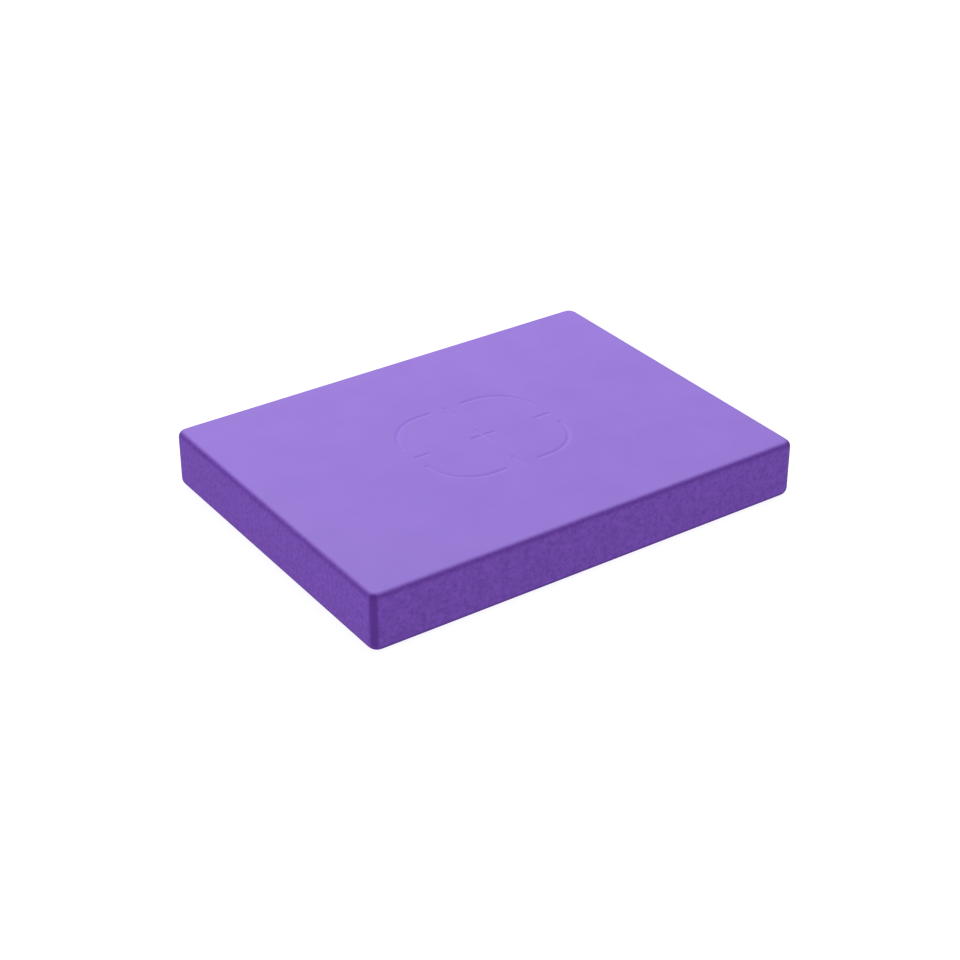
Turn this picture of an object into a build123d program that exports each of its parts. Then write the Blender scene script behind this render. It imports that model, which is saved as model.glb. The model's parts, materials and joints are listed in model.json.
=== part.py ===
"""A foam balance pad: a rounded rectangular slab of closed-cell foam, laid up in layers.

Millimetres, +Z up. The origin is the centre of the underside, X runs along the pad's length and Y
along its width. From the ground up the layers are a grip sheet, an adhesive film, two foam plies
fused face to face, a second adhesive film and a smooth top sheet with a pressed centring mark.
"""

import os
from math import sqrt

from build123d import *

# Overall sizes
LENGTH = 400.0
WIDTH = 300.0
THICKNESS = 50.0

# Rounding of the slab: its four upright corners, and its edges above and below
CORNER_RADIUS = 9.0
TOP_EDGE_RADIUS = 5.5
BOTTOM_EDGE_RADIUS = 7.0

# Layers
TOP_FACING = 3.0
BOTTOM_FACING = 3.0
BOND_FILM = 0.25
FILM_SETBACK = 0.4

# Centring mark: a rounded frame broken at the middle of each side, a tick in each gap, and a cross
MARK_LENGTH = 132.0
MARK_WIDTH = 112.0
MARK_CORNER_RADIUS = 40.0
MARK_GAP = 30.0
MARK_LINE = 3.0
MARK_DEPTH = 0.8
TICK_LENGTH = 16.0
CROSS_SPAN = 24.0

# Heights of the planes between the layers
BOTTOM_FILM_LOW = BOTTOM_FACING
BOTTOM_FILM_HIGH = BOTTOM_FILM_LOW + BOND_FILM
TOP_FILM_HIGH = THICKNESS - TOP_FACING
TOP_FILM_LOW = TOP_FILM_HIGH - BOND_FILM
PLY_SEAM = (BOTTOM_FILM_HIGH + TOP_FILM_LOW) / 2


def edge_inset(height):
    """How far the slab's side stands in from its widest outline at a height, because of the rounding."""
    into_bottom = max(BOTTOM_EDGE_RADIUS - height, 0)
    into_top = max(height - (THICKNESS - TOP_EDGE_RADIUS), 0)
    at_bottom = BOTTOM_EDGE_RADIUS - sqrt(BOTTOM_EDGE_RADIUS**2 - into_bottom**2)
    at_top = TOP_EDGE_RADIUS - sqrt(TOP_EDGE_RADIUS**2 - into_top**2)
    return max(at_bottom, at_top)


def slab_layer(low, high):
    """The whole rounded slab between two heights, so that the rounding runs on from layer to layer."""
    with BuildPart() as layer:
        with BuildSketch():
            RectangleRounded(LENGTH, WIDTH, CORNER_RADIUS)
        extrude(amount=THICKNESS)
        fillet(layer.edges().group_by(Axis.Z)[-1], radius=TOP_EDGE_RADIUS)
        fillet(layer.edges().group_by(Axis.Z)[0], radius=BOTTOM_EDGE_RADIUS)
        if low > 0:
            split(bisect_by=Plane.XY.offset(low), keep=Keep.TOP)
        if high < THICKNESS:
            split(bisect_by=Plane.XY.offset(high), keep=Keep.BOTTOM)
    return layer


def bond_film(low, high):
    """An adhesive film between two heights, set back from the slab's side so that no glue shows."""
    setback = max(edge_inset(low), edge_inset(high)) + FILM_SETBACK
    with BuildPart() as film:
        with BuildSketch(Plane.XY.offset(low)):
            RectangleRounded(LENGTH - 2 * setback, WIDTH - 2 * setback, CORNER_RADIUS - setback)
        extrude(amount=high - low)
    return film


# Grip sheet that the pad lies on
bottom_facing = slab_layer(0, BOTTOM_FILM_LOW)
bottom_facing.part.label = "bottom_facing"

bottom_bond_film = bond_film(BOTTOM_FILM_LOW, BOTTOM_FILM_HIGH)
bottom_bond_film.part.label = "bottom_bond_film"

# Two foam plies of equal thickness give the pad its spring
lower_foam_ply = slab_layer(BOTTOM_FILM_HIGH, PLY_SEAM)
lower_foam_ply.part.label = "lower_foam_ply"

upper_foam_ply = slab_layer(PLY_SEAM, TOP_FILM_LOW)
upper_foam_ply.part.label = "upper_foam_ply"

top_bond_film = bond_film(TOP_FILM_LOW, TOP_FILM_HIGH)
top_bond_film.part.label = "top_bond_film"

# Smooth top sheet that is stood on, with the centring mark pressed into it
with BuildPart() as top_facing:
    add(slab_layer(TOP_FILM_HIGH, THICKNESS).part)
    with BuildSketch(Plane.XY.offset(THICKNESS - MARK_DEPTH)):
        RectangleRounded(MARK_LENGTH, MARK_WIDTH, MARK_CORNER_RADIUS)
        RectangleRounded(
            MARK_LENGTH - 2 * MARK_LINE,
            MARK_WIDTH - 2 * MARK_LINE,
            MARK_CORNER_RADIUS - MARK_LINE,
            mode=Mode.SUBTRACT,
        )
        Rectangle(MARK_LENGTH, MARK_GAP, mode=Mode.SUBTRACT)
        Rectangle(MARK_GAP, MARK_WIDTH, mode=Mode.SUBTRACT)
        with Locations((-(MARK_LENGTH - TICK_LENGTH) / 2, 0), ((MARK_LENGTH - TICK_LENGTH) / 2, 0)):
            SlotOverall(TICK_LENGTH, MARK_LINE)
        with Locations((0, -(MARK_WIDTH - TICK_LENGTH) / 2), (0, (MARK_WIDTH - TICK_LENGTH) / 2)):
            SlotOverall(TICK_LENGTH, MARK_LINE, rotation=90)
        SlotOverall(CROSS_SPAN, MARK_LINE)
        SlotOverall(CROSS_SPAN, MARK_LINE, rotation=90)
    extrude(amount=MARK_DEPTH, mode=Mode.SUBTRACT)
top_facing.part.label = "top_facing"

LAYERS = (
    bottom_facing,
    bottom_bond_film,
    lower_foam_ply,
    upper_foam_ply,
    top_bond_film,
    top_facing,
)

os.makedirs("parts", exist_ok=True)
for layer in LAYERS:
    export_step(layer.part, f"parts/{layer.part.label}.step")
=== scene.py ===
"""Builds the visible pieces of a laminated foam balance pad around its CAD frame.

Lengths are metres, +Z up, with the origin at the centre of the underside. The pad is a smooth top
skin with a pressed centring mark, two plies of cut foam and a grip skin underneath. An adhesive
film lies under the top skin and over the grip skin, closed in by the skins' lips.
"""

import json
import math

import bpy
import numpy as np
from bpy.props import FloatProperty, FloatVectorProperty, IntProperty, PointerProperty
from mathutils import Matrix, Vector


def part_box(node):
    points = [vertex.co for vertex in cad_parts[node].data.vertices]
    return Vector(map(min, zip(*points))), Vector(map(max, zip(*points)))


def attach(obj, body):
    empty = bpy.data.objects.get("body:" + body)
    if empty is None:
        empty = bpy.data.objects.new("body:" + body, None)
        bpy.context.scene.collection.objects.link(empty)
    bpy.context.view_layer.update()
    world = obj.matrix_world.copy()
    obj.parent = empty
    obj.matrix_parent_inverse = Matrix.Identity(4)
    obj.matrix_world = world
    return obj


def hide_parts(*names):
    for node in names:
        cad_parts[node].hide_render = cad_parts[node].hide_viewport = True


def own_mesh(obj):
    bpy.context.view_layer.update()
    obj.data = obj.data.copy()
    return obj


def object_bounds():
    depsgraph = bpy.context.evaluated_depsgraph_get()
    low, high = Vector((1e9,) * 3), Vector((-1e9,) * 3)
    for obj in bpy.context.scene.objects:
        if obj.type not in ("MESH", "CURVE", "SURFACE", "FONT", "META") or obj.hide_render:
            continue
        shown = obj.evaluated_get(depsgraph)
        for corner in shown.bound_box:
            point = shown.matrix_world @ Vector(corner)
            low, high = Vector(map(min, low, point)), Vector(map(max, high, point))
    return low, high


bl_info = {
    "name": "Foam balance pad",
    "version": (1, 0, 0),
    "blender": (4, 5, 0),
    "location": "View3D > Sidebar > Balance Pad",
    "description": "Builds a laminated balance pad from cut and moulded foam",
    "category": "Add Mesh",
}

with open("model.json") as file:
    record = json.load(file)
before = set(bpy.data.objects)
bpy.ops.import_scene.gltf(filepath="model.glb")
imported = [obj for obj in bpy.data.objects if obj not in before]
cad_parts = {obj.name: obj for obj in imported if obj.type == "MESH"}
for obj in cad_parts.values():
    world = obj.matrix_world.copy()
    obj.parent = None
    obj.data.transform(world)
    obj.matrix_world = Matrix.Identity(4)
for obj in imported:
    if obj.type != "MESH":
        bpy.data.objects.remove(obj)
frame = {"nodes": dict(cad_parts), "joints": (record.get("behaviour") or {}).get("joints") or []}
CAD_LOW, CAD_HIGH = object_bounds()
PAD_LENGTH = CAD_HIGH.x - CAD_LOW.x
PAD_WIDTH = CAD_HIGH.y - CAD_LOW.y
PAD_THICKNESS = CAD_HIGH.z - CAD_LOW.z
COMPRESSION = next(joint for joint in frame["joints"] if joint["name"] == "foam_compression")
MM = 0.001

# Degrees turned from a skin's flat face, over which the moulded skin gives way to cut foam
SKIN_ENDS = (8, 45)
# How much painted shade darkens the foam along the upper edge, and the degrees turned over which
# that fades again towards the side
UPPER_EDGE_SHADE = 0.45
UPPER_EDGE_FADES = (30, 70)
# The same painted shade along the lower edge, which sets in over these shares of its radius,
# counted downwards
LOWER_EDGE_SHADE = 0.95
LOWER_EDGE_REACH = (0.08, 0.42)
# The same painted shade round the upright corners, where 0 faces straight off a side and 1 straight
# off a corner
CORNER_REACH = (0.60, 0.97)

# Meshing: vertices across the width of a pressed line, widths of finely meshed margin round the
# mark, places across a groove in shares of its width, and rings in the plain borders of a skin
POINTS_ACROSS_LINE = 4.6
MARK_MARGIN = 1.5
ACROSS_GROOVE = (-0.5, -0.4, -0.3, -0.2, 0, 0.2, 0.3, 0.4, 0.5)
BORDER_STEPS = 3
# Edges that turn by more than this many degrees are shaded sharp
SKIN_CREASE = 50
FOAM_CREASE = 60
# How far a skin may be cut away before its pressed pattern has faded out
PATTERN_FADES = (0.0, 0.05)

# The camera: degrees round from the long side and up, where it looks, how far off, and its lens
CAMERA_AZIMUTH, CAMERA_ELEVATION = -34.62, 30.42
CAMERA_TARGET = Vector((0.0057, 0.0129, 0.0))
CAMERA_DISTANCE = 1.7433
CAMERA_LENS_MM = 79.53
# The lamps, each aimed at the pad: name, place, width and watts
LAMPS = (
    ("key", (0.5, 1.8, 1.8), 1.2, 40.0),
    ("overhead", (0.9, 0.1, 2.9), 3.0, 33.0),
    ("fill", (-2.6, -0.5, 0.35), 1.6, 14.5),
)
WHITE = (1.0, 1.0, 1.0, 1.0)
ROOM_LIGHT, BACKDROP_LIGHT, FLOOR_GLOW = 0.42, 1.0, 0.9
FLOOR_GREY = (0.25, 0.25, 0.25, 1.0)
FLOOR_REACH = 40.0
FLOOR_BELOW_PAD = 0.1 * MM


# ---------------------------------------------------------------- sizes and colours


def length(name, description, millimetres):
    """A length property, shown in the scene's units."""
    return FloatProperty(
        name=name,
        description=description,
        default=millimetres * MM,
        min=0.0,
        unit="LENGTH",
        precision=4,
    )


def colour(name, description, value):
    """A colour property, in linear light."""
    return FloatVectorProperty(
        name=name,
        description=description,
        default=value,
        min=0.0,
        max=1.0,
        size=3,
        subtype="COLOR",
    )


class SlabShape(bpy.types.PropertyGroup):
    """The rounding of the whole slab and how finely its surfaces are meshed."""

    corner_radius: length("Corner radius", "Radius of the four upright corners", 9.0)
    top_radius: length("Top edge radius", "Rounding of the upper edge", 5.5)
    bottom_radius: length("Bottom edge radius", "Rounding of the lower edge", 7.0)
    lip: length("Lip", "Thickness of the skins' edge where it closes the glue line", 0.35)
    side_mesh: length("Side mesh", "Distance between vertices on the cut sides", 0.65)
    face_mesh: length("Face mesh", "Distance between vertices on the plain part of a skin", 3.0)
    seam: length("Seam", "Hair's breadth left between the two fused plies", 0.01)
    rim_steps: IntProperty(
        name="Rim steps", description="Rings of vertices round an edge", default=10, min=3
    )


class MarkShape(bpy.types.PropertyGroup):
    """The centring mark that is pressed into the top skin."""

    frame_length: length("Frame length", "Outer length of the rounded frame", 132)
    frame_width: length("Frame width", "Outer width of the rounded frame", 112)
    frame_radius: length("Frame corner radius", "Outer corner radius of the frame", 40)
    gap: length("Gap", "Width of the break in the middle of each side", 30)
    tick: length("Tick", "Length of the tick in each gap", 16)
    cross: length("Cross", "Span of the cross in the middle", 24)
    line: length("Line width", "Width of the pressed line", 3)
    depth: length("Depth", "Depth of the pressed line", 0.8)
    softness: length("Softness", "Width over which the foam rounds off into the line", 2.8)


class FoamGrain(bpy.types.PropertyGroup):
    """The torn cells of the cut sides and the slight unevenness of the skins."""

    cell: length("Cell", "Size of the larger torn cells", 2.3)
    pit_depth: length("Pit depth", "Depth of a torn cell", 0.18)
    drag: length("Drag depth", "Height of the ripples that the saw leaves", 0.16)
    swell: length("Swell", "Height of the skins' broad unevenness", 0.12)
    seed: FloatProperty(name="Seed", description="Picks one of many like patterns", default=4.0)


class GripShape(bpy.types.PropertyGroup):
    """The square tread that is moulded into the underside."""

    pitch: length("Pitch", "Distance between grooves", 20)
    groove: length("Groove width", "Width of a groove", 3)
    depth: length("Depth", "Depth of a groove", 0.9)
    border: length("Border", "Plain band left round the tread", 14)


class FoamColours(bpy.types.PropertyGroup):
    """The colours of the foam surfaces."""

    # The skin colours are lighter and greyer than the cut foam's partly as moulded skin, partly as
    # painted sheen and painted top light
    skin: colour("Skin", "Smooth moulded skin", (0.283, 0.168, 0.620))
    skin_deep: colour("Skin, deeper", "Where the skin is a little denser", (0.268, 0.157, 0.598))
    # Painted highlight: the pressed skin is lighter than the skin, standing in for the light that
    # the pressed lines' walls catch
    pressed: colour("Pressed skin", "Burnished skin in the mark", (0.300, 0.178, 0.662))
    foam: colour("Cut foam", "Cell walls of cut foam", (0.196, 0.078, 0.488))
    # Darkens the torn cells as painted shade, and blotches the foam and streaks the film at random
    pit: colour("Torn cell", "Inside of the torn cells", (0.092, 0.030, 0.275))
    # Painted shade: the dark colour laid on the foam along the rounded edges and round the upright
    # corners, where shade falls
    rim: colour("Dense foam", "Foam ground dense round edges and corners", (0.095, 0.027, 0.265))
    film: colour("Film", "Adhesive film", (0.055, 0.022, 0.150))
    grip: colour("Grip skin", "Moulded grip skin of the underside", (0.185, 0.090, 0.450))
    # Darker grip skin: random mottling over the skin, and painted shade inside the tread's grooves
    grip_mottle_and_groove_shade: colour("Grip skin, deeper", "Inside of the tread's grooves", (0.125, 0.055, 0.330))


SETTINGS = {
    "pad_slab": SlabShape,
    "pad_mark": MarkShape,
    "pad_grain": FoamGrain,
    "pad_grip": GripShape,
    "pad_colours": FoamColours,
}


# ---------------------------------------------------------------- outlines and base meshes


def slab_outline(spacing):
    """Points evenly spaced round the slab's outline: the centre that each is rounded about, and
    its outward direction."""
    radius = bpy.context.scene.pad_slab.corner_radius
    x, y = PAD_LENGTH / 2 - radius, PAD_WIDTH / 2 - radius
    quarter = math.pi / 2 * radius
    runs = [2 * y, quarter, 2 * x, quarter] * 2
    knots = np.concatenate([[0.0], np.cumsum(runs)])
    centre_x = [x, x, x, -x, -x, -x, -x, x, x]
    centre_y = [-y, y, y, y, y, -y, -y, -y, -y]
    turned = np.array([0, 0, 1, 1, 2, 2, 3, 3, 4]) * math.pi / 2
    along = np.linspace(0, knots[-1], round(knots[-1] / spacing), endpoint=False)
    centre = np.stack([np.interp(along, knots, place) for place in (centre_x, centre_y)], axis=1)
    angle = np.interp(along, knots, turned)
    outward = np.stack([np.cos(angle), np.sin(angle)], axis=1)
    return centre, outward


def smooth_step(value, low, high):
    """0 up to low, 1 from high, and a smooth change between them."""
    share = np.clip((value - low) / (high - low), 0.0, 1.0)
    return share * share * (3 - 2 * share)


def edge_inset(height):
    """How far the slab's side stands in from its widest outline at a height."""
    slab = bpy.context.scene.pad_slab
    below = max(slab.bottom_radius - height, 0.0)
    above = max(height - (PAD_THICKNESS - slab.top_radius), 0.0)
    at_bottom = slab.bottom_radius - math.sqrt(slab.bottom_radius**2 - below**2)
    at_top = slab.top_radius - math.sqrt(slab.top_radius**2 - above**2)
    return max(at_bottom, at_top)


def ring_faces(rings, count):
    """Quads between closed rings of count vertices each, numbered ring by ring from the lowest."""
    here = np.arange(count)
    after = (here + 1) % count
    ring = np.stack([here, after, count + after, count + here], 1)
    return np.concatenate([ring + start for start in range(0, (rings - 1) * count, count)])


def fan_faces(loop, centre, upward):
    """Triangles from a loop of vertices, counter-clockwise from above, to a centre vertex."""
    loop = np.asarray(loop)
    after = np.roll(loop, -1)
    middle = np.full(len(loop), centre)
    return np.stack([loop, after, middle] if upward else [after, loop, middle], 1)


def new_mesh(name, points, faces, **attributes):
    """A mesh from arrays, with named float or vector attributes on its vertices. faces is a list
    of arrays, one face to a row."""
    mesh = bpy.data.meshes.new(name)
    mesh.from_pydata(points.tolist(), [], [face.tolist() for group in faces for face in group])
    for attribute, values in attributes.items():
        values = np.asarray(values, np.float32)
        kind, field = ("FLOAT", "value") if values.ndim == 1 else ("FLOAT_VECTOR", "vector")
        layer = mesh.attributes.new(attribute, kind, "POINT")
        layer.data.foreach_set(field, values.ravel())
    mesh.validate()
    return mesh


def ply_mesh(name, low, high):
    """One foam ply between two heights: a finely ringed side that can take torn cells, and plain
    flat faces where it is fused or glued."""
    slab = bpy.context.scene.pad_slab
    centre, outward = slab_outline(slab.side_mesh)
    # Painted shade round the upright corners, at each place round the outline
    corner = painted_corner_shade(outward)
    count = len(centre)
    heights = np.linspace(low, high, round((high - low) / slab.side_mesh) + 1)
    points, rim = [], []
    for height in heights:
        flat = centre + (slab.corner_radius - edge_inset(height)) * outward
        points.append(np.column_stack([flat, np.full(count, height)]))
        # How much painted shade darkens this ring, along the edges and round the corners
        rim.append(np.maximum(corner, painted_edge_shade(height)))
    points.append([(0, 0, low), (0, 0, high)])
    rings = len(heights)
    top_loop = np.arange(count) + (rings - 1) * count
    faces = [
        ring_faces(rings, count),
        fan_faces(np.arange(count), rings * count, upward=False),
        fan_faces(top_loop, rings * count + 1, upward=True),
    ]
    sideways = np.column_stack([outward, np.zeros(count)])
    outwards = np.concatenate([np.tile(sideways, (rings, 1)), np.zeros((2, 3))])
    rims = np.concatenate([*rim, np.zeros(2)])
    return new_mesh(name, np.concatenate(points), faces, outward=outwards, rim=rims)


def painted_corner_shade(outward):
    """How much painted shade darkens the foam by an outward direction: 0 on a side, 1 round a
    corner.
    """
    share = (np.arctan2(outward[:, 1], outward[:, 0]) / (math.pi / 2)) % 1
    return smooth_step(4 * share * (1 - share), *CORNER_REACH)


def painted_edge_shade(height):
    """How much painted shade darkens the foam at a height: 0 on a plain side, more round an edge.
    """
    slab = bpy.context.scene.pad_slab
    into_top = max(height - (PAD_THICKNESS - slab.top_radius), 0.0) / slab.top_radius
    turned = math.degrees(math.asin(min(into_top, 1.0)))
    upper = cut_away(turned) * (1 - smooth_step(turned, *UPPER_EDGE_FADES))
    lower = smooth_step(1 - height / slab.bottom_radius, *LOWER_EDGE_REACH)
    return max(UPPER_EDGE_SHADE * upper, LOWER_EDGE_SHADE * lower)


def cut_away(turned):
    """How much of the moulded skin is gone where a surface has turned from the flat face."""
    return smooth_step(turned, *SKIN_ENDS)


def graded(half, stops):
    """Places from -half to half, symmetrical about 0: stops gives (place to go on to, spacing)."""
    places, at = [0.0], 0.0
    for stop, spacing in stops:
        steps = max(round((stop - at) / spacing), 1)
        places += np.linspace(at, stop, steps + 1)[1:].tolist()
        at = stop
    places = np.array(places)
    places *= half / places[-1]
    return np.concatenate([-places[:0:-1], places])


def skin_mesh(name, xs, ys, face, back, glue_line, edge_radius):
    """A skin with a gridded face at height face, rounded over its edge towards its flat back. Its
    edge runs on past the back in a thin lip that closes the glue line. xs and ys are the grid's
    places across the flat of the face."""
    slab = bpy.context.scene.pad_slab
    up = 1 if face > back else -1
    corner = slab.corner_radius - edge_radius
    inner = np.array([xs[-1] - corner, ys[-1] - corner])
    grid = np.stack(np.meshgrid(xs, ys, indexing="ij"), axis=-1).reshape(-1, 2)
    core = np.clip(grid, -inner, inner)
    out = grid - core
    reach = np.abs(out).max(axis=1)
    size = np.linalg.norm(out, axis=1)
    grid = core + out * (reach / np.maximum(size, 1e-12))[:, None]

    index = np.arange(len(grid)).reshape(len(xs), len(ys))
    quads = np.stack([index[:-1, :-1], index[1:, :-1], index[1:, 1:], index[:-1, 1:]], -1)
    loop = np.concatenate([index[:-1, 0], index[-1, :-1], index[:0:-1, -1], index[0, :0:-1]])

    points = [np.column_stack([grid, np.full(len(grid), face)])]
    rim, cut = [np.zeros(len(grid))], [np.zeros(len(grid))]
    direction = grid[loop] - core[loop]
    direction /= np.linalg.norm(direction, axis=1)[:, None]
    profile = rim_profile(face, back, glue_line, edge_radius)
    for inset, height, angle in profile:
        flat = core[loop] + (corner + edge_radius - inset) * direction
        points.append(np.column_stack([flat, np.full(len(loop), height)]))
        cut.append(np.full(len(loop), cut_away(math.degrees(angle))))
        # How much painted shade darkens this ring of the skin's edge, along the edges and round the
        # corners
        rim.append(np.maximum(painted_corner_shade(direction) * cut[-1], painted_edge_shade(height)))
    points.append([(0, 0, back)])
    rim.append([0.0])
    cut.append([1.0])

    starts = len(grid) + np.arange(len(profile) + 1) * len(loop)
    rings = [loop, *(start + np.arange(len(loop)) for start in starts[:-1])]
    sides = [np.stack([b, np.roll(b, -1), np.roll(a, -1), a], 1) for a, b in zip(rings, rings[1:])]
    faces = [quads.reshape(-1, 4), *sides, fan_faces(rings[-1], starts[-1], upward=False)]
    if up < 0:
        faces = [group[:, ::-1] for group in faces]
    rim, cut = np.concatenate(rim), np.concatenate(cut)
    return new_mesh(name, np.concatenate(points), faces, rim=rim, cut=cut)


def rim_profile(face, back, glue_line, edge_radius):
    """The section of a skin's rim, from the face round the edge and in under the lip: how far each
    ring stands in from the widest outline, its height, and how far it has turned from the face."""
    slab = bpy.context.scene.pad_slab
    downwards = -1 if face > back else 1
    last = math.acos(1 - (abs(face - back) + glue_line) / edge_radius)
    profile = [
        (
            edge_radius * (1 - math.sin(angle)),
            face + downwards * edge_radius * (1 - math.cos(angle)),
            angle,
        )
        for angle in np.linspace(0, last, slab.rim_steps + 1)[1:]
    ]
    inset, height, _ = profile[-1]
    lip = inset + slab.lip
    return [*profile, (lip, height, last), (lip, back, last)]


# ---------------------------------------------------------------- geometry node rules


class Field:
    """A number that varies over a surface, as a socket of a node tree. Arithmetic adds nodes."""

    def __init__(self, tree, socket):
        self.tree = tree
        self.socket = socket

    def calculate(self, operation, *others):
        node = add_node(self.tree, "ShaderNodeMath", operation=operation)
        for socket, value in zip(node.inputs, (self, *others)):
            feed(self.tree, socket, value)
        return Field(self.tree, node.outputs[0])

    def __add__(self, other):
        return self.calculate("ADD", other)

    def __sub__(self, other):
        return self.calculate("SUBTRACT", other)

    def __mul__(self, other):
        return self.calculate("MULTIPLY", other)

    def __truediv__(self, other):
        return self.calculate("DIVIDE", other)

    def __abs__(self):
        return self.calculate("ABSOLUTE")

    def least(self, other):
        return self.calculate("MINIMUM", other)

    def most(self, other):
        return self.calculate("MAXIMUM", other)

    def hypotenuse(self, other):
        return (self * self + other * other).calculate("SQRT")

    def step_down(self, low, high):
        """1 up to low, 0 from high, and a smooth change between them."""
        node = add_node(self.tree, "ShaderNodeMapRange", interpolation_type="SMOOTHSTEP")
        for socket, value in zip(node.inputs, (self, low, high, 1.0, 0.0)):
            feed(self.tree, socket, value)
        return Field(self.tree, node.outputs[0])


def add_node(tree, kind, **settings):
    """A new node, placed to the right of the ones before it, eight to a row."""
    node = tree.nodes.new(kind)
    for name, value in settings.items():
        setattr(node, name, value)
    row, column = divmod(len(tree.nodes), 8)
    node.location = (220 * column, -320 * row)
    return node


def feed(tree, socket, value):
    """Links a field or a socket to an input, or sets the input to a plain value."""
    if isinstance(value, Field):
        value = value.socket
    if isinstance(value, bpy.types.NodeSocket):
        tree.links.new(value, socket)
    else:
        socket.default_value = value


class SurfaceRule:
    """A geometry node tree that moves the vertices of a base mesh by a rule and ends in Realize
    Instances and Set Material. sizes are its named float inputs."""

    def __init__(self, name, sizes):
        self.tree = bpy.data.node_groups.new(name, "GeometryNodeTree")
        sockets = self.tree.interface
        sockets.new_socket("Geometry", in_out="INPUT", socket_type="NodeSocketGeometry")
        for size, value in sizes.items():
            socket = sockets.new_socket(size, in_out="INPUT", socket_type="NodeSocketFloat")
            socket.default_value = value
        sockets.new_socket("Material", in_out="INPUT", socket_type="NodeSocketMaterial")
        sockets.new_socket("Geometry", in_out="OUTPUT", socket_type="NodeSocketGeometry")
        self.source = add_node(self.tree, "NodeGroupInput")
        self.sizes = sizes
        self.shape = self.source.outputs["Geometry"]
        place = add_node(self.tree, "ShaderNodeSeparateXYZ")
        self.position = add_node(self.tree, "GeometryNodeInputPosition").outputs[0]
        self.tree.links.new(self.position, place.inputs[0])
        self.x, self.y, self.z = (Field(self.tree, socket) for socket in place.outputs)

    def size(self, name):
        return Field(self.tree, self.source.outputs[name])

    def attribute(self, name, kind="FLOAT"):
        node = add_node(self.tree, "GeometryNodeInputNamedAttribute", data_type=kind)
        node.inputs["Name"].default_value = name
        return Field(self.tree, node.outputs["Attribute"])

    def noise(self, scale, detail, seed, stretch=(1, 1, 1)):
        """Smooth noise about 0, with scale features to the metre."""
        spread = add_node(self.tree, "ShaderNodeVectorMath", operation="MULTIPLY")
        feed(self.tree, spread.inputs[0], self.position)
        feed(self.tree, spread.inputs[1], stretch)
        node = add_node(self.tree, "ShaderNodeTexNoise", noise_dimensions="4D")
        values = {"Vector": spread.outputs[0], "W": seed, "Scale": scale, "Detail": detail}
        for name, value in values.items():
            feed(self.tree, node.inputs[name], value)
        return Field(self.tree, node.outputs[0]) - 0.5

    def cells(self, scale, seed):
        """Distance to the nearest of scattered points, with scale points to the metre."""
        node = add_node(self.tree, "ShaderNodeTexVoronoi", voronoi_dimensions="4D")
        for name, value in {"Vector": self.position, "W": seed, "Scale": scale}.items():
            feed(self.tree, node.inputs[name], value)
        return Field(self.tree, node.outputs["Distance"])

    def keep(self, name, field):
        """Stores a field on the vertices, for the material to read."""
        node = add_node(
            self.tree, "GeometryNodeStoreNamedAttribute", data_type="FLOAT", domain="POINT"
        )
        node.inputs["Name"].default_value = name
        feed(self.tree, node.inputs["Geometry"], self.shape)
        feed(self.tree, node.inputs["Value"], field)
        self.shape = node.outputs["Geometry"]

    def move(self, direction, distance):
        """Moves the vertices along a vector field or a plain direction, by a distance field."""
        scaled = add_node(self.tree, "ShaderNodeVectorMath", operation="SCALE")
        feed(self.tree, scaled.inputs[0], direction)
        feed(self.tree, scaled.inputs["Scale"], distance)
        node = add_node(self.tree, "GeometryNodeSetPosition")
        feed(self.tree, node.inputs["Geometry"], self.shape)
        feed(self.tree, node.inputs["Offset"], scaled.outputs[0])
        self.shape = node.outputs["Geometry"]

    def finish(self):
        realize = add_node(self.tree, "GeometryNodeRealizeInstances")
        paint = add_node(self.tree, "GeometryNodeSetMaterial")
        end = add_node(self.tree, "NodeGroupOutput")
        feed(self.tree, realize.inputs[0], self.shape)
        feed(self.tree, paint.inputs["Geometry"], realize.outputs[0])
        feed(self.tree, paint.inputs["Material"], self.source.outputs["Material"])
        feed(self.tree, end.inputs[0], paint.outputs[0])
        return self.tree


def shaped_by(rule, base, material, crease):
    """A piece made of a base mesh that a rule has shaped, as a plain mesh with smooth shading, and
    with sharp edges where it turns by more than crease degrees."""
    piece = bpy.data.objects.new(base.name, base)
    bpy.context.scene.collection.objects.link(piece)
    modifier = piece.modifiers.new("shape", "NODES")
    modifier.node_group = rule.tree
    values = {**rule.sizes, "Material": material}
    for item in rule.tree.interface.items_tree:
        if item.in_out == "INPUT" and item.name in values:
            modifier[item.identifier] = values[item.name]
    graph = bpy.context.evaluated_depsgraph_get()
    mesh = bpy.data.meshes.new_from_object(
        piece.evaluated_get(graph), preserve_all_data_layers=True, depsgraph=graph
    )
    piece.modifiers.clear()
    piece.data = mesh
    mesh.name = base.name
    if not len(mesh.polygons):
        raise RuntimeError(f"{piece.name} came out empty")
    mesh.shade_smooth()
    mesh.set_sharp_from_angle(angle=math.radians(crease))
    return piece


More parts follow.
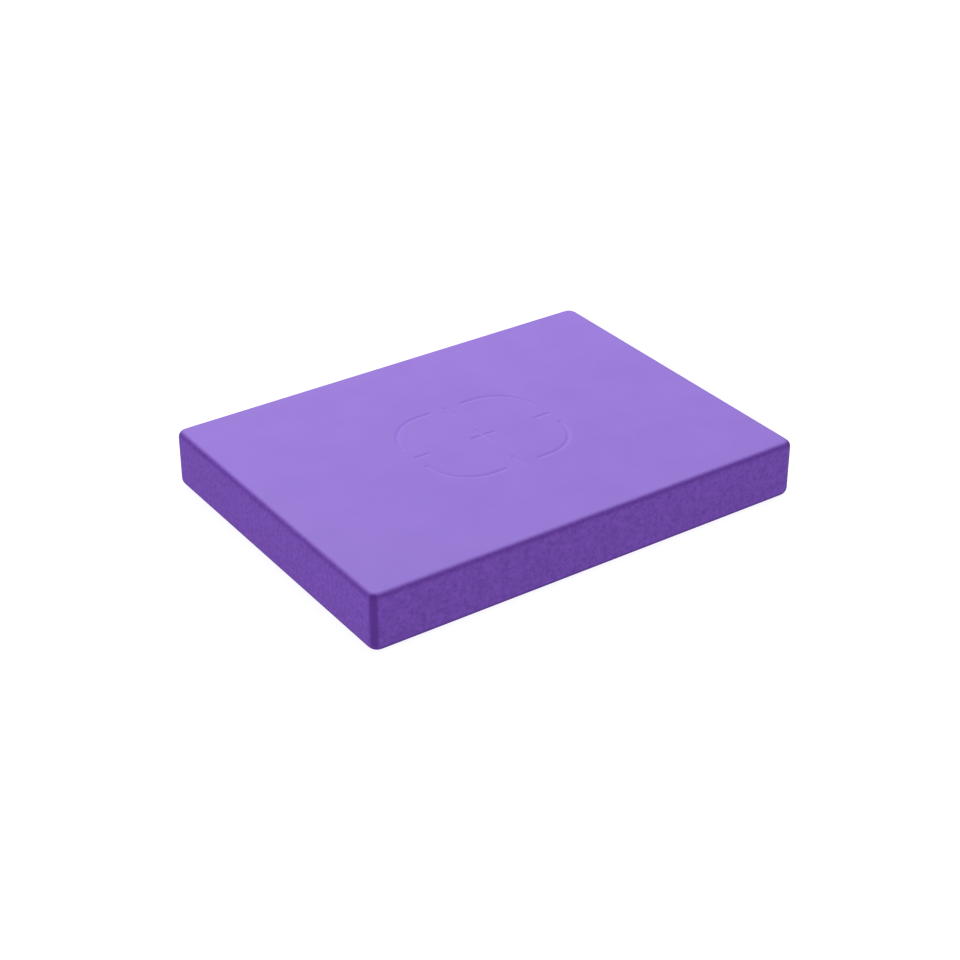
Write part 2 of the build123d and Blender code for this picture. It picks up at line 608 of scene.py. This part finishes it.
def pressed_mark_rule():
    """The top skin: the centring mark pressed in, and a broad slight unevenness."""
    mark = bpy.context.scene.pad_mark
    grain = bpy.context.scene.pad_grain
    sizes = {
        "Half length": mark.frame_length / 2,
        "Half width": mark.frame_width / 2,
        "Corner radius": mark.frame_radius,
        "Half gap": mark.gap / 2,
        "Tick": mark.tick,
        "Half cross": mark.cross / 2,
        "Half line": mark.line / 2,
        "Depth": mark.depth,
        "Softness": mark.softness / 2,
        "Swell": grain.swell,
        "Seed": grain.seed,
    }
    rule = SurfaceRule("Pressed mark", sizes)
    across, along = abs(rule.x), abs(rule.y)
    line = rule.size("Half line")

    def bar(lengthways, sideways, start, end):
        """Distance to the edge of a round-ended line along one axis, from start to end."""
        past = (lengthways - (end - line)).most(0.0)
        short = (start - lengthways).most(0.0)
        return (past + short).hypotenuse(sideways) - line

    radius = rule.size("Corner radius") - line
    out_x = across - (rule.size("Half length") - line - radius)
    out_y = along - (rule.size("Half width") - line - radius)
    corner = out_x.most(0.0).hypotenuse(out_y.most(0.0))
    to_frame = abs(corner + out_x.most(out_y).least(0.0) - radius) - line
    gap = rule.size("Half gap")
    to_frame = to_frame.most(gap - across).most(gap - along)

    distance, middle = to_frame, gap * 0.0
    half_length, half_width = rule.size("Half length"), rule.size("Half width")
    for lengthways, sideways, end in ((across, along, half_length), (along, across, half_width)):
        distance = distance.least(bar(lengthways, sideways, end - rule.size("Tick") + line, end))
        distance = distance.least(bar(lengthways, sideways, middle, rule.size("Half cross")))
    soft = rule.size("Softness")
    pressed = distance.step_down(soft * -1.0, soft)
    flat = rule.attribute("cut").step_down(*PATTERN_FADES)
    swell = rule.noise(scale=9.0, detail=1.0, seed=rule.size("Seed")) * rule.size("Swell")
    # Where the mark is pressed, which the material colours lighter as painted highlight
    rule.keep("pressed", pressed * flat)
    rule.move((0, 0, 1), (swell - pressed * rule.size("Depth")) * flat)
    rule.finish()
    return rule


def cut_foam_rule():
    """The cut sides of a ply: torn cells in patches, and the ripples that the saw leaves, with
    both calmer towards the slab's rounded edges."""
    grain, slab = bpy.context.scene.pad_grain, bpy.context.scene.pad_slab
    sizes = {
        "Cell": grain.cell,
        "Pit depth": grain.pit_depth,
        "Drag depth": grain.drag,
        "Low edge": slab.bottom_radius,
        "High edge": PAD_THICKNESS - slab.top_radius,
        "Seed": grain.seed,
    }
    rule = SurfaceRule("Cut foam", sizes)
    seed = rule.size("Seed")
    per_metre = rule.size("Cell").calculate("POWER", -1.0)
    patch = rule.noise(scale=per_metre * 0.35, detail=2.0, seed=seed)
    pit = (rule.cells(per_metre, seed) - patch * 0.5).step_down(low=0.12, high=0.42)
    lying = (0.8, 0.8, 1.2)
    drag = rule.noise(scale=per_metre * 0.9, detail=3.0, seed=seed + 3.0, stretch=lying)
    low, high, fading = rule.size("Low edge"), rule.size("High edge"), 2 * MM
    plain = rule.z.step_down(high, high + fading) - rule.z.step_down(low * 0.5, low)
    # Where cells are torn, which the material also darkens as painted shade
    rule.keep("pit", pit * plain)
    depth = (drag * rule.size("Drag depth") - pit * rule.size("Pit depth")) * plain
    rule.move(rule.attribute("outward", "FLOAT_VECTOR"), depth)
    rule.finish()
    return rule


def tread_rule():
    """The grip skin: square grooves inside a plain border."""
    grip = bpy.context.scene.pad_grip
    grain = bpy.context.scene.pad_grain
    sizes = {
        "Pitch": grip.pitch,
        "Half groove": grip.groove / 2,
        "Depth": grip.depth,
        "Half length": PAD_LENGTH / 2 - grip.border,
        "Half width": PAD_WIDTH / 2 - grip.border,
        "Swell": grain.swell,
        "Seed": grain.seed,
    }
    rule = SurfaceRule("Tread", sizes)
    pitch, half = rule.size("Pitch"), rule.size("Half groove")
    half_pitch = pitch / 2.0
    off_x = half_pitch - (rule.x + half_pitch).calculate("PINGPONG", half_pitch)
    off_y = half_pitch - (rule.y + half_pitch).calculate("PINGPONG", half_pitch)
    groove = off_x.least(off_y).step_down(half * 0.4, half)
    past_x, past_y = abs(rule.x) - rule.size("Half length"), abs(rule.y) - rule.size("Half width")
    border = past_x.most(past_y)
    flat = rule.attribute("cut").step_down(*PATTERN_FADES)
    pressed = groove * border.step_down(half * -2.0, 0.0) * flat
    # Where the grooves are pressed, which the material colours darker as painted shade
    rule.keep("pressed", pressed)
    rule.move((0, 0, 1), pressed * rule.size("Depth"))
    rule.finish()
    return rule


# ---------------------------------------------------------------- materials


class Finish:
    """A material in the making: its shader, object coordinates and short ways to add nodes."""

    def __init__(self, name, roughness, **constants):
        self.material = bpy.data.materials.new(name)
        self.material.use_nodes = True
        self.tree = self.material.node_tree
        self.shader = self.tree.nodes["Principled BSDF"]
        self.shader.inputs["Roughness"].default_value = roughness
        for socket, value in constants.items():
            self.shader.inputs[socket.replace("_", " ")].default_value = value
        self.place = add_node(self.tree, "ShaderNodeTexCoord").outputs["Object"]

    def noise(self, scale, detail=3.0, roughness=0.5, stretch=(1, 1, 1)):
        """Smooth noise about 0.5, with scale features to the metre."""
        mapping = add_node(self.tree, "ShaderNodeMapping")
        mapping.inputs["Scale"].default_value = stretch
        feed(self.tree, mapping.inputs["Vector"], self.place)
        node = add_node(self.tree, "ShaderNodeTexNoise")
        for name, value in (("Scale", scale), ("Detail", detail), ("Roughness", roughness)):
            node.inputs[name].default_value = value
        feed(self.tree, node.inputs["Vector"], mapping.outputs[0])
        return Field(self.tree, node.outputs[0])

    def cells(self, scale):
        """Distance to the nearest of scattered points, with scale points to the metre."""
        node = add_node(self.tree, "ShaderNodeTexVoronoi")
        node.inputs["Scale"].default_value = scale
        feed(self.tree, node.inputs["Vector"], self.place)
        return Field(self.tree, node.outputs["Distance"])

    def attribute(self, name):
        """A value that the mesh carries on its vertices."""
        node = add_node(self.tree, "ShaderNodeAttribute", attribute_name=name)
        return Field(self.tree, node.outputs["Fac"])

    def ramp(self, field, low, high):
        """0 up to low, 1 from high."""
        node = add_node(self.tree, "ShaderNodeMapRange")
        for socket, value in zip(node.inputs, (field, low, high, 0.0, 1.0)):
            feed(self.tree, socket, value)
        return Field(self.tree, node.outputs[0])

    def mixed(self, first, second, share):
        """A colour between two colours or colour sockets."""
        node = add_node(self.tree, "ShaderNodeMix", data_type="RGBA")
        sockets = [socket for socket in node.inputs if socket.type == "RGBA"]
        feed(self.tree, node.inputs[0], share)
        for socket, value in zip(sockets, (first, second)):
            is_socket = isinstance(value, bpy.types.NodeSocket)
            feed(self.tree, socket, value if is_socket else (*value, 1.0))
        return next(socket for socket in node.outputs if socket.type == "RGBA")

    def paint(self, base, roughness, height, height_mm):
        """Sets the colour, the roughness and the bump, whose height runs over height_mm."""
        bump = add_node(self.tree, "ShaderNodeBump")
        bump.inputs["Distance"].default_value = height_mm * MM
        feed(self.tree, bump.inputs["Height"], height)
        feed(self.tree, self.shader.inputs["Base Color"], base)
        feed(self.tree, self.shader.inputs["Roughness"], roughness)
        feed(self.tree, self.shader.inputs["Normal"], bump.outputs[0])
        return self.material


def foam_grain(finish):
    """Colour and height of cut foam: cell walls, torn cells of several sizes with painted shade in
    them, and painted shade along the edges and round the corners.
    """
    colours = bpy.context.scene.pad_colours
    blotch = finish.ramp(finish.noise(scale=290, detail=3.0, roughness=0.65), 0.36, 0.68)
    cloud = finish.ramp(finish.noise(scale=60, detail=3.0, roughness=0.6), 0.4, 0.66)
    # Darker in the torn cells as painted shade, and in random blotches and clouds
    dark = finish.attribute("pit") * 0.32 + blotch * 0.5 + cloud * 0.08
    tone = finish.mixed(tuple(colours.foam), tuple(colours.pit), dark)
    # Painted shade along the edges and round the corners
    tone = finish.mixed(tone, tuple(colours.rim), finish.attribute("rim"))
    fine = finish.ramp(finish.cells(scale=1150), 0.2, 0.62)
    return tone, fine * 0.5 + finish.noise(scale=1400, detail=4.0, roughness=0.7) * 0.5


def moulded_skin(name, base, deep, pressed):
    """Moulded foam skin: nearly even, faintly clouded, finely pebbled, cut away at its edges."""
    finish = Finish(name, roughness=0.7, Specular_IOR_Level=0.15)
    pebble = finish.noise(scale=900, detail=2.0)
    cloud = finish.ramp(finish.noise(scale=22, detail=4.0, roughness=0.55), 0.38, 0.64)
    dense = cloud * 0.8 + finish.ramp(pebble, 0.35, 0.7) * 0.2
    tone = finish.mixed(tuple(base), tuple(deep), dense)
    # The pressed lines take the pressed colour: painted highlight on the top skin, painted shade in
    # the grip skin's grooves
    tone = finish.mixed(tone, tuple(pressed), finish.attribute("pressed"))
    cut = finish.attribute("cut")
    foam, grain = foam_grain(finish)
    tone = finish.mixed(tone, foam, cut)
    roughness = finish.noise(scale=300) * 0.12 + 0.6 + cut * 0.2
    pebbles = pebble * 0.25
    height = pebbles + (grain - pebbles) * cut
    return finish.paint(tone, roughness, height, height_mm=0.22)


def cut_foam():
    """Matt cut foam."""
    finish = Finish("cut_foam", roughness=0.9, Specular_IOR_Level=0.2)
    tone, grain = foam_grain(finish)
    roughness = finish.noise(scale=400) * 0.1 + 0.82
    return finish.paint(tone, roughness, grain, height_mm=0.22)


def adhesive_film():
    """Dried contact adhesive, slightly glossy and uneven."""
    colours = bpy.context.scene.pad_colours
    finish = Finish("adhesive_film", roughness=0.4)
    streak = finish.noise(scale=350, detail=3.0, roughness=0.6, stretch=(1, 1, 4))
    tone = finish.mixed(tuple(colours.film), tuple(colours.pit), finish.ramp(streak, 0.4, 0.8))
    return finish.paint(tone, streak * 0.3 + 0.3, streak, height_mm=0.05)


# ---------------------------------------------------------------- placing pieces in the frame


def settle(piece, body, node):
    """Hands a finished foam piece to the frame: it rides a body and stands for a CAD node."""
    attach(piece, body)
    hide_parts(node)


def squeeze(piece):
    """Gives a ply a mesh of its own. It works out the share of their thickness that both plies
    would keep with the joint closed, but leaves the ply's shape as it is."""
    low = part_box("lower_foam_ply")[0].z
    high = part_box("upper_foam_ply")[1].z
    kept = 1 - COMPRESSION["range_m"][1] / (high - low)
    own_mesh(piece)


class PAD_OT_stage(bpy.types.Operator):
    """Adds the camera, the lights and the floor"""

    bl_idname = "balance_pad.stage"
    bl_label = "Stage"

    def execute(self, context):
        self.add_camera(context.scene)
        self.add_lights(context.scene)
        self.add_floor(context.scene)
        return {"FINISHED"}

    def add_camera(self, scene):
        azimuth, elevation = math.radians(CAMERA_AZIMUTH), math.radians(CAMERA_ELEVATION)
        back = Vector(
            (
                math.sin(azimuth) * math.cos(elevation),
                -math.cos(azimuth) * math.cos(elevation),
                math.sin(elevation),
            )
        )
        camera = bpy.data.objects.new("camera", bpy.data.cameras.new("camera"))
        camera.data.lens = CAMERA_LENS_MM
        camera.location = CAMERA_TARGET + back * CAMERA_DISTANCE
        camera.rotation_euler = (-back).to_track_quat("-Z", "Y").to_euler()
        scene.collection.objects.link(camera)
        scene.camera = camera

    def add_lights(self, scene):
        """Even light from all round, a white backdrop for the camera, and the lamps."""
        scene.view_settings.view_transform = "Standard"
        world = bpy.data.worlds.new("studio")
        world.use_nodes = True
        tree = world.node_tree
        soft_light = tree.nodes["Background"]
        backdrop = add_node(tree, "ShaderNodeBackground")
        for background, strength in ((soft_light, ROOM_LIGHT), (backdrop, BACKDROP_LIGHT)):
            background.inputs["Color"].default_value = WHITE
            background.inputs["Strength"].default_value = strength
        seen = add_node(tree, "ShaderNodeMixShader")
        feed(tree, seen.inputs[0], add_node(tree, "ShaderNodeLightPath").outputs["Is Camera Ray"])
        feed(tree, seen.inputs[1], soft_light.outputs[0])
        feed(tree, seen.inputs[2], backdrop.outputs[0])
        feed(tree, tree.nodes["World Output"].inputs["Surface"], seen.outputs[0])
        scene.world = world
        for name, place, width, watts in LAMPS:
            light = bpy.data.lights.new(name, "AREA")
            light.size = width
            light.energy = watts
            lamp = bpy.data.objects.new(name, light)
            lamp.location = place
            lamp.rotation_euler = (-Vector(place)).to_track_quat("-Z", "Y").to_euler()
            scene.collection.objects.link(lamp)

    def add_floor(self, scene):
        """A white floor that glows enough to lose the pad's shadow, a hair's breadth under it."""
        square = ((-1, -1), (1, -1), (1, 1), (-1, 1))
        corners = [(x * FLOOR_REACH, y * FLOOR_REACH, -FLOOR_BELOW_PAD) for x, y in square]
        mesh = bpy.data.meshes.new("floor")
        mesh.from_pydata(corners, [], [(0, 1, 2, 3)])
        floor = bpy.data.objects.new("floor", mesh)
        scene.collection.objects.link(floor)
        paper = Finish(
            "lit_paper", roughness=0.9, Specular_IOR_Level=0.1, Emission_Strength=FLOOR_GLOW
        )
        paper.shader.inputs["Base Color"].default_value = FLOOR_GREY
        paper.shader.inputs["Emission Color"].default_value = WHITE
        floor.data.materials.append(paper.material)


class PAD_OT_top_skin(bpy.types.Operator):
    """Adds the smooth top skin with its pressed centring mark"""

    bl_idname = "balance_pad.top_skin"
    bl_label = "Top skin"

    def execute(self, context):
        slab, mark = context.scene.pad_slab, context.scene.pad_mark
        colours = context.scene.pad_colours
        low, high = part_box("top_facing")
        fine = mark.line / POINTS_ACROSS_LINE
        margin = mark.line * MARK_MARGIN

        def places(overall, across):
            """Close together over the mark, wide apart round it, and closer in the corners."""
            half = overall / 2 - slab.top_radius
            rounded = half - (slab.corner_radius - slab.top_radius)
            marked = across / 2 + margin
            stops = ((marked, fine), (rounded, slab.face_mesh), (half, slab.side_mesh))
            return graded(half, stops)

        xs = places(PAD_LENGTH, mark.frame_length)
        ys = places(PAD_WIDTH, mark.frame_width)
        glue_low, glue_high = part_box("top_bond_film")
        glue_line = glue_high.z - glue_low.z
        base = skin_mesh("top_skin", xs, ys, high.z, low.z, glue_line, slab.top_radius)
        # The top skin's colours hold painted sheen and painted top light as well as the skin's own
        # colour
        material = moulded_skin("smooth_skin", colours.skin, colours.skin_deep, colours.pressed)
        piece = shaped_by(pressed_mark_rule(), base, material, SKIN_CREASE)
        settle(piece, "top", "top_facing")
        return {"FINISHED"}


class PAD_OT_foam_plies(bpy.types.Operator):
    """Adds the two fused plies of cut foam"""

    bl_idname = "balance_pad.foam_plies"
    bl_label = "Foam plies"

    def execute(self, context):
        rule, material, seam = cut_foam_rule(), cut_foam(), context.scene.pad_slab.seam
        for name, body in (("lower_foam", "base"), ("upper_foam", "top")):
            node = name + "_ply"
            low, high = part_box(node)
            if body == "top":
                glued, fused = high.z, low.z + seam / 2
            else:
                glued, fused = low.z, high.z - seam / 2
            ply = ply_mesh(name, min(glued, fused), max(glued, fused))
            piece = shaped_by(rule, ply, material, FOAM_CREASE)
            settle(piece, body, node)
            squeeze(piece)
        return {"FINISHED"}


class PAD_OT_grip_skin(bpy.types.Operator):
    """Adds the moulded grip skin of the underside"""

    bl_idname = "balance_pad.grip_skin"
    bl_label = "Grip skin"

    def execute(self, context):
        slab, grip = context.scene.pad_slab, context.scene.pad_grip
        colours = context.scene.pad_colours
        low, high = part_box("bottom_facing")

        def places(overall):
            """A few across each groove, one between grooves, and a few in the plain border."""
            half = overall / 2 - slab.bottom_radius
            rounded = half - (slab.corner_radius - slab.bottom_radius)
            count = int((overall / 2 - grip.border) / grip.pitch)
            centres = np.arange(-count, count + 1) * grip.pitch
            lines = (centres[:, None] + np.array(ACROSS_GROOVE) * grip.groove).ravel()
            between = centres[:-1] + grip.pitch / 2
            tail = np.linspace(lines.max() + grip.groove, rounded, BORDER_STEPS + 1)
            ends = np.linspace(rounded, half, BORDER_STEPS + 1)[1:]
            edge = np.concatenate([tail, ends])
            return np.unique(np.concatenate([lines, between, edge, -edge]).round(7))

        xs, ys = places(PAD_LENGTH), places(PAD_WIDTH)
        glue_low, glue_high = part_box("bottom_bond_film")
        glue_line = glue_high.z - glue_low.z
        base = skin_mesh("grip_skin", xs, ys, low.z, high.z, glue_line, slab.bottom_radius)
        # The darker grip colour mottles the skin and lays painted shade in the grooves
        material = moulded_skin("grip_skin", colours.grip, colours.grip_mottle_and_groove_shade, colours.grip_mottle_and_groove_shade)
        piece = shaped_by(tread_rule(), base, material, SKIN_CREASE)
        settle(piece, "base", "bottom_facing")
        return {"FINISHED"}


class PAD_OT_bond_films(bpy.types.Operator):
    """Gives the two adhesive films their finish"""

    bl_idname = "balance_pad.bond_films"
    bl_label = "Bond films"

    def execute(self, context):
        material = adhesive_film()
        for node in ("top_bond_film", "bottom_bond_film"):
            film = frame["nodes"][node]
            film.data.materials.clear()
            film.data.materials.append(material)
        return {"FINISHED"}


PIECES = (PAD_OT_stage, PAD_OT_top_skin, PAD_OT_foam_plies, PAD_OT_grip_skin, PAD_OT_bond_films)


class VIEW3D_PT_balance_pad(bpy.types.Panel):
    """Lists the pad's pieces and their sizes and colours"""

    bl_label = "Balance pad"
    bl_space_type = "VIEW_3D"
    bl_region_type = "UI"
    bl_category = "Balance Pad"

    def draw(self, context):
        for operator in PIECES:
            self.layout.operator(operator.bl_idname)
        for name, group in SETTINGS.items():
            box = self.layout.box()
            box.label(text=group.__doc__)
            for setting in group.__annotations__:
                box.prop(getattr(context.scene, name), setting)


def register():
    for group in (*SETTINGS.values(), *PIECES, VIEW3D_PT_balance_pad):
        bpy.utils.register_class(group)
    for name, group in SETTINGS.items():
        setattr(bpy.types.Scene, name, PointerProperty(type=group))


def unregister():
    for name in SETTINGS:
        delattr(bpy.types.Scene, name)
    for group in reversed((*SETTINGS.values(), *PIECES, VIEW3D_PT_balance_pad)):
        bpy.utils.unregister_class(group)


def main():
    register()
    bpy.ops.balance_pad.stage()
    bpy.ops.balance_pad.top_skin()
    bpy.ops.balance_pad.foam_plies()
    bpy.ops.balance_pad.grip_skin()
    bpy.ops.balance_pad.bond_films()


if __name__ == "__main__":
    main()
